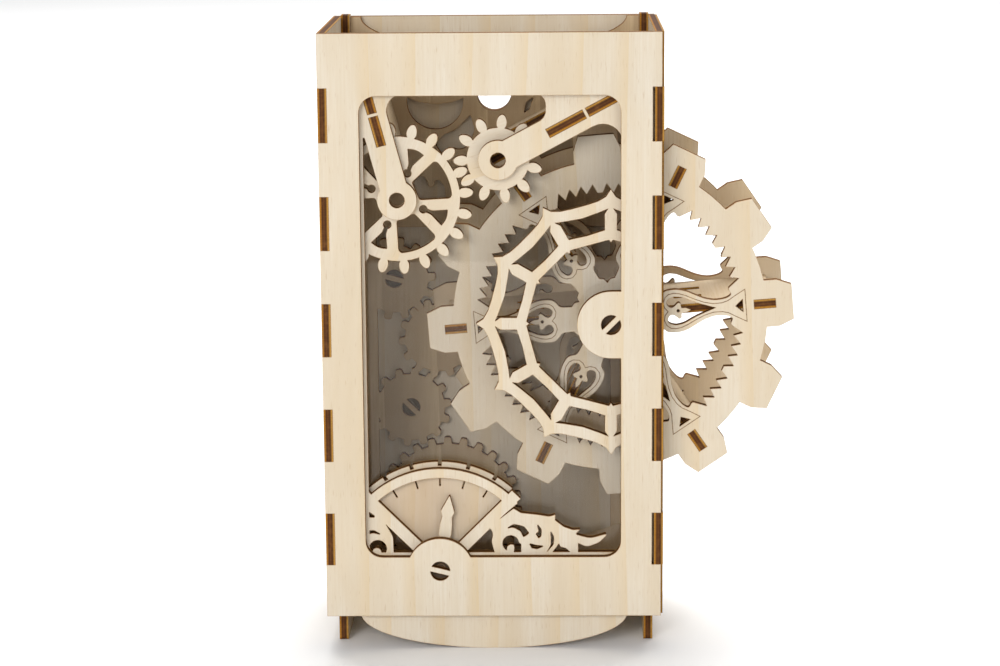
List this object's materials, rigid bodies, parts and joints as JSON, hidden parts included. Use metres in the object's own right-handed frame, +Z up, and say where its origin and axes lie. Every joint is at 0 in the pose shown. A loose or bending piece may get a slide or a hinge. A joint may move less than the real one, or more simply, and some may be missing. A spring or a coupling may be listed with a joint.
{
  "type": "wooden 3d jigsaw model",
  "caption": "Laser-cut plywood puzzle box with a window, a paddle wheel through its side, meshing gears and a gauge.",
  "frame": {"origin": "on the floor, under the middle of the round front foot, which is centred across the box", "axes": "+X to the right seen from the front, +Y to the back, +Z up"},
  "size_m": [0.154, 0.075, 0.2046],
  "materials": {
    "ply_face": "bare sanded birch, edges burnt brown by the laser",
    "ply_side": "bare sanded birch, edges burnt brown by the laser",
    "ply_inside": "bare sanded birch, edges burnt brown by the laser",
    "ply_rear": "bare sanded birch, edges burnt brown by the laser",
    "ply_gear": "bare sanded birch, edges burnt brown by the laser",
    "ply_gauge": "bare sanded birch, edges burnt brown by the laser",
    "ply_board": "bare sanded birch, edges burnt brown by the laser",
    "ply_wheel": "bare sanded birch, edges burnt brown by the laser",
    "ply_paddle": "bare sanded birch, edges burnt brown by the laser",
    "dowel": "bare sanded birch, edges burnt brown by the laser",
    "clear_pane": "clear polished sheet"
  },
  "bodies": {
    "box": {"front_panel": "ply_face", "fretwork_plate": "ply_face", "left_side_panel": "ply_side", "right_side_panel": "ply_side", "back_panel": "ply_side", "floor_panel": "ply_inside", "left_inner_side": "ply_inside", "right_inner_side": "ply_inside", "rear_fretwork": "ply_rear", "clear_pane": "clear_pane", "left_lower_spacer": "ply_inside", "left_upper_spacer": "ply_inside", "right_spacer": "ply_inside", "large_gear_bush": "dowel", "small_gear_bush": "dowel", "dial_plate": "ply_gauge", "needle_pin": "dowel", "left_chute_board": "ply_board", "right_chute_board": "ply_board", "left_arm_key": "ply_board", "exit_ramp": "ply_board"},
    "wheel": {"wheel_front_plate": "ply_wheel", "wheel_back_plate": "ply_wheel", "wheel_axle": "dowel", "wheel_front_collar": "dowel", "wheel_back_collar": "dowel", "wheel_paddle_1": "ply_paddle", "wheel_paddle_2": "ply_paddle", "wheel_paddle_3": "ply_paddle", "wheel_paddle_4": "ply_paddle", "wheel_paddle_5": "ply_paddle", "wheel_paddle_6": "ply_paddle"},
    "large_gear": {"large_gear": "ply_gear"},
    "small_gear": {"small_gear": "ply_gear"},
    "needle": {"needle": "ply_gauge"}
  },
  "joints": [
    {"name": "wheel_spin", "type": "hinge", "parent": "box", "child": "wheel", "pos_m": [0.0387, 0, 0.1093], "axis": [0, 1, 0], "continuous": true},
    {"name": "large_gear_spin", "type": "hinge", "parent": "box", "child": "large_gear", "pos_m": [-0.03021, 0, 0.14985], "axis": [0, 1, 0], "continuous": true},
    {"name": "small_gear_spin", "type": "hinge", "parent": "box", "child": "small_gear", "pos_m": [0.00245, 0, 0.16265], "axis": [0, 1, 0], "continuous": true},
    {"name": "needle_swing", "type": "hinge", "parent": "box", "child": "needle", "pos_m": [-0.0175, 0, 0.0271], "axis": [0, 1, 0], "range_deg": [-30, 15]}
  ],
  "couplings": [
    {"joint": "small_gear_spin", "follows": "large_gear_spin", "ratio": -1.8182}
  ]
}
